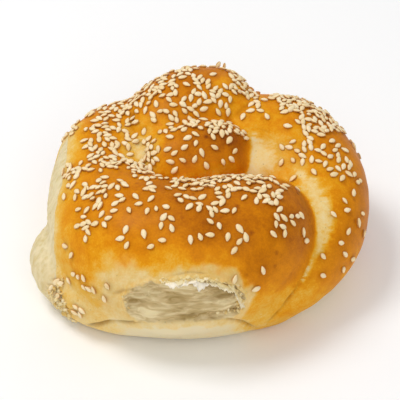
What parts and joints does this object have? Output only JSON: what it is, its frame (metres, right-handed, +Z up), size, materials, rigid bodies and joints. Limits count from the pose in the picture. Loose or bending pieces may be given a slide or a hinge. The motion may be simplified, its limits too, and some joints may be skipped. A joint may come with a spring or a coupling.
{
  "type": "sesame bun",
  "caption": "Knotted bread roll with a soft golden crust, a torn pale side and sesame seeds over its crown; it lies on its flat foot.",
  "frame": {"origin": "middle of the bun's outline, on the flat foot it lies on", "axes": "+Z up out of the crown, +X along the widest side, +Y away from the torn front"},
  "size_m": [0.1126, 0.1, 0.0554],
  "materials": {
    "crust": "egg-glazed bread crust, soft satin sheen, golden brown on the crests and pale cream where the dough pulled apart",
    "crumb": "torn white bread crumb, matt, fibrous and finely porous",
    "sesame": "hulled sesame seed, pale cream, faintly oily sheen"
  },
  "bodies": {
    "root": {"bread": "crust", "sesame_seed_01": "sesame", "sesame_seed_02": "sesame", "sesame_seed_03": "sesame", "sesame_seed_04": "sesame", "sesame_seed_05": "sesame", "sesame_seed_06": "sesame", "sesame_seed_07": "sesame", "sesame_seed_08": "sesame", "sesame_seed_09": "sesame", "sesame_seed_10": "sesame", "sesame_seed_11": "sesame", "sesame_seed_12": "sesame", "sesame_seed_13": "sesame", "sesame_seed_14": "sesame", "sesame_seed_15": "sesame", "sesame_seed_16": "sesame", "sesame_seed_17": "sesame", "sesame_seed_18": "sesame", "sesame_seed_19": "sesame", "sesame_seed_20": "sesame", "sesame_seed_21": "sesame", "sesame_seed_22": "sesame", "sesame_seed_23": "sesame", "sesame_seed_24": "sesame", "sesame_seed_25": "sesame", "sesame_seed_26": "sesame", "sesame_seed_27": "sesame", "sesame_seed_28": "sesame", "sesame_seed_29": "sesame", "sesame_seed_30": "sesame", "sesame_seed_31": "sesame", "sesame_seed_32": "sesame", "sesame_seed_33": "sesame", "sesame_seed_34": "sesame", "sesame_seed_35": "sesame", "sesame_seed_36": "sesame", "sesame_seed_37": "sesame", "sesame_seed_38": "sesame", "sesame_seed_39": "sesame", "sesame_seed_40": "sesame", "sesame_seed_41": "sesame", "sesame_seed_42": "sesame", "sesame_seed_43": "sesame", "sesame_seed_44": "sesame", "sesame_seed_45": "sesame", "sesame_seed_46": "sesame", "sesame_seed_47": "sesame", "sesame_seed_48": "sesame", "sesame_seed_49": "sesame", "sesame_seed_50": "sesame", "sesame_seed_51": "sesame", "sesame_seed_52": "sesame", "sesame_seed_53": "sesame", "sesame_seed_54": "sesame", "sesame_seed_55": "sesame", "sesame_seed_56": "sesame", "sesame_seed_57": "sesame", "sesame_seed_58": "sesame", "sesame_seed_59": "sesame"}
  },
  "joints": []
}
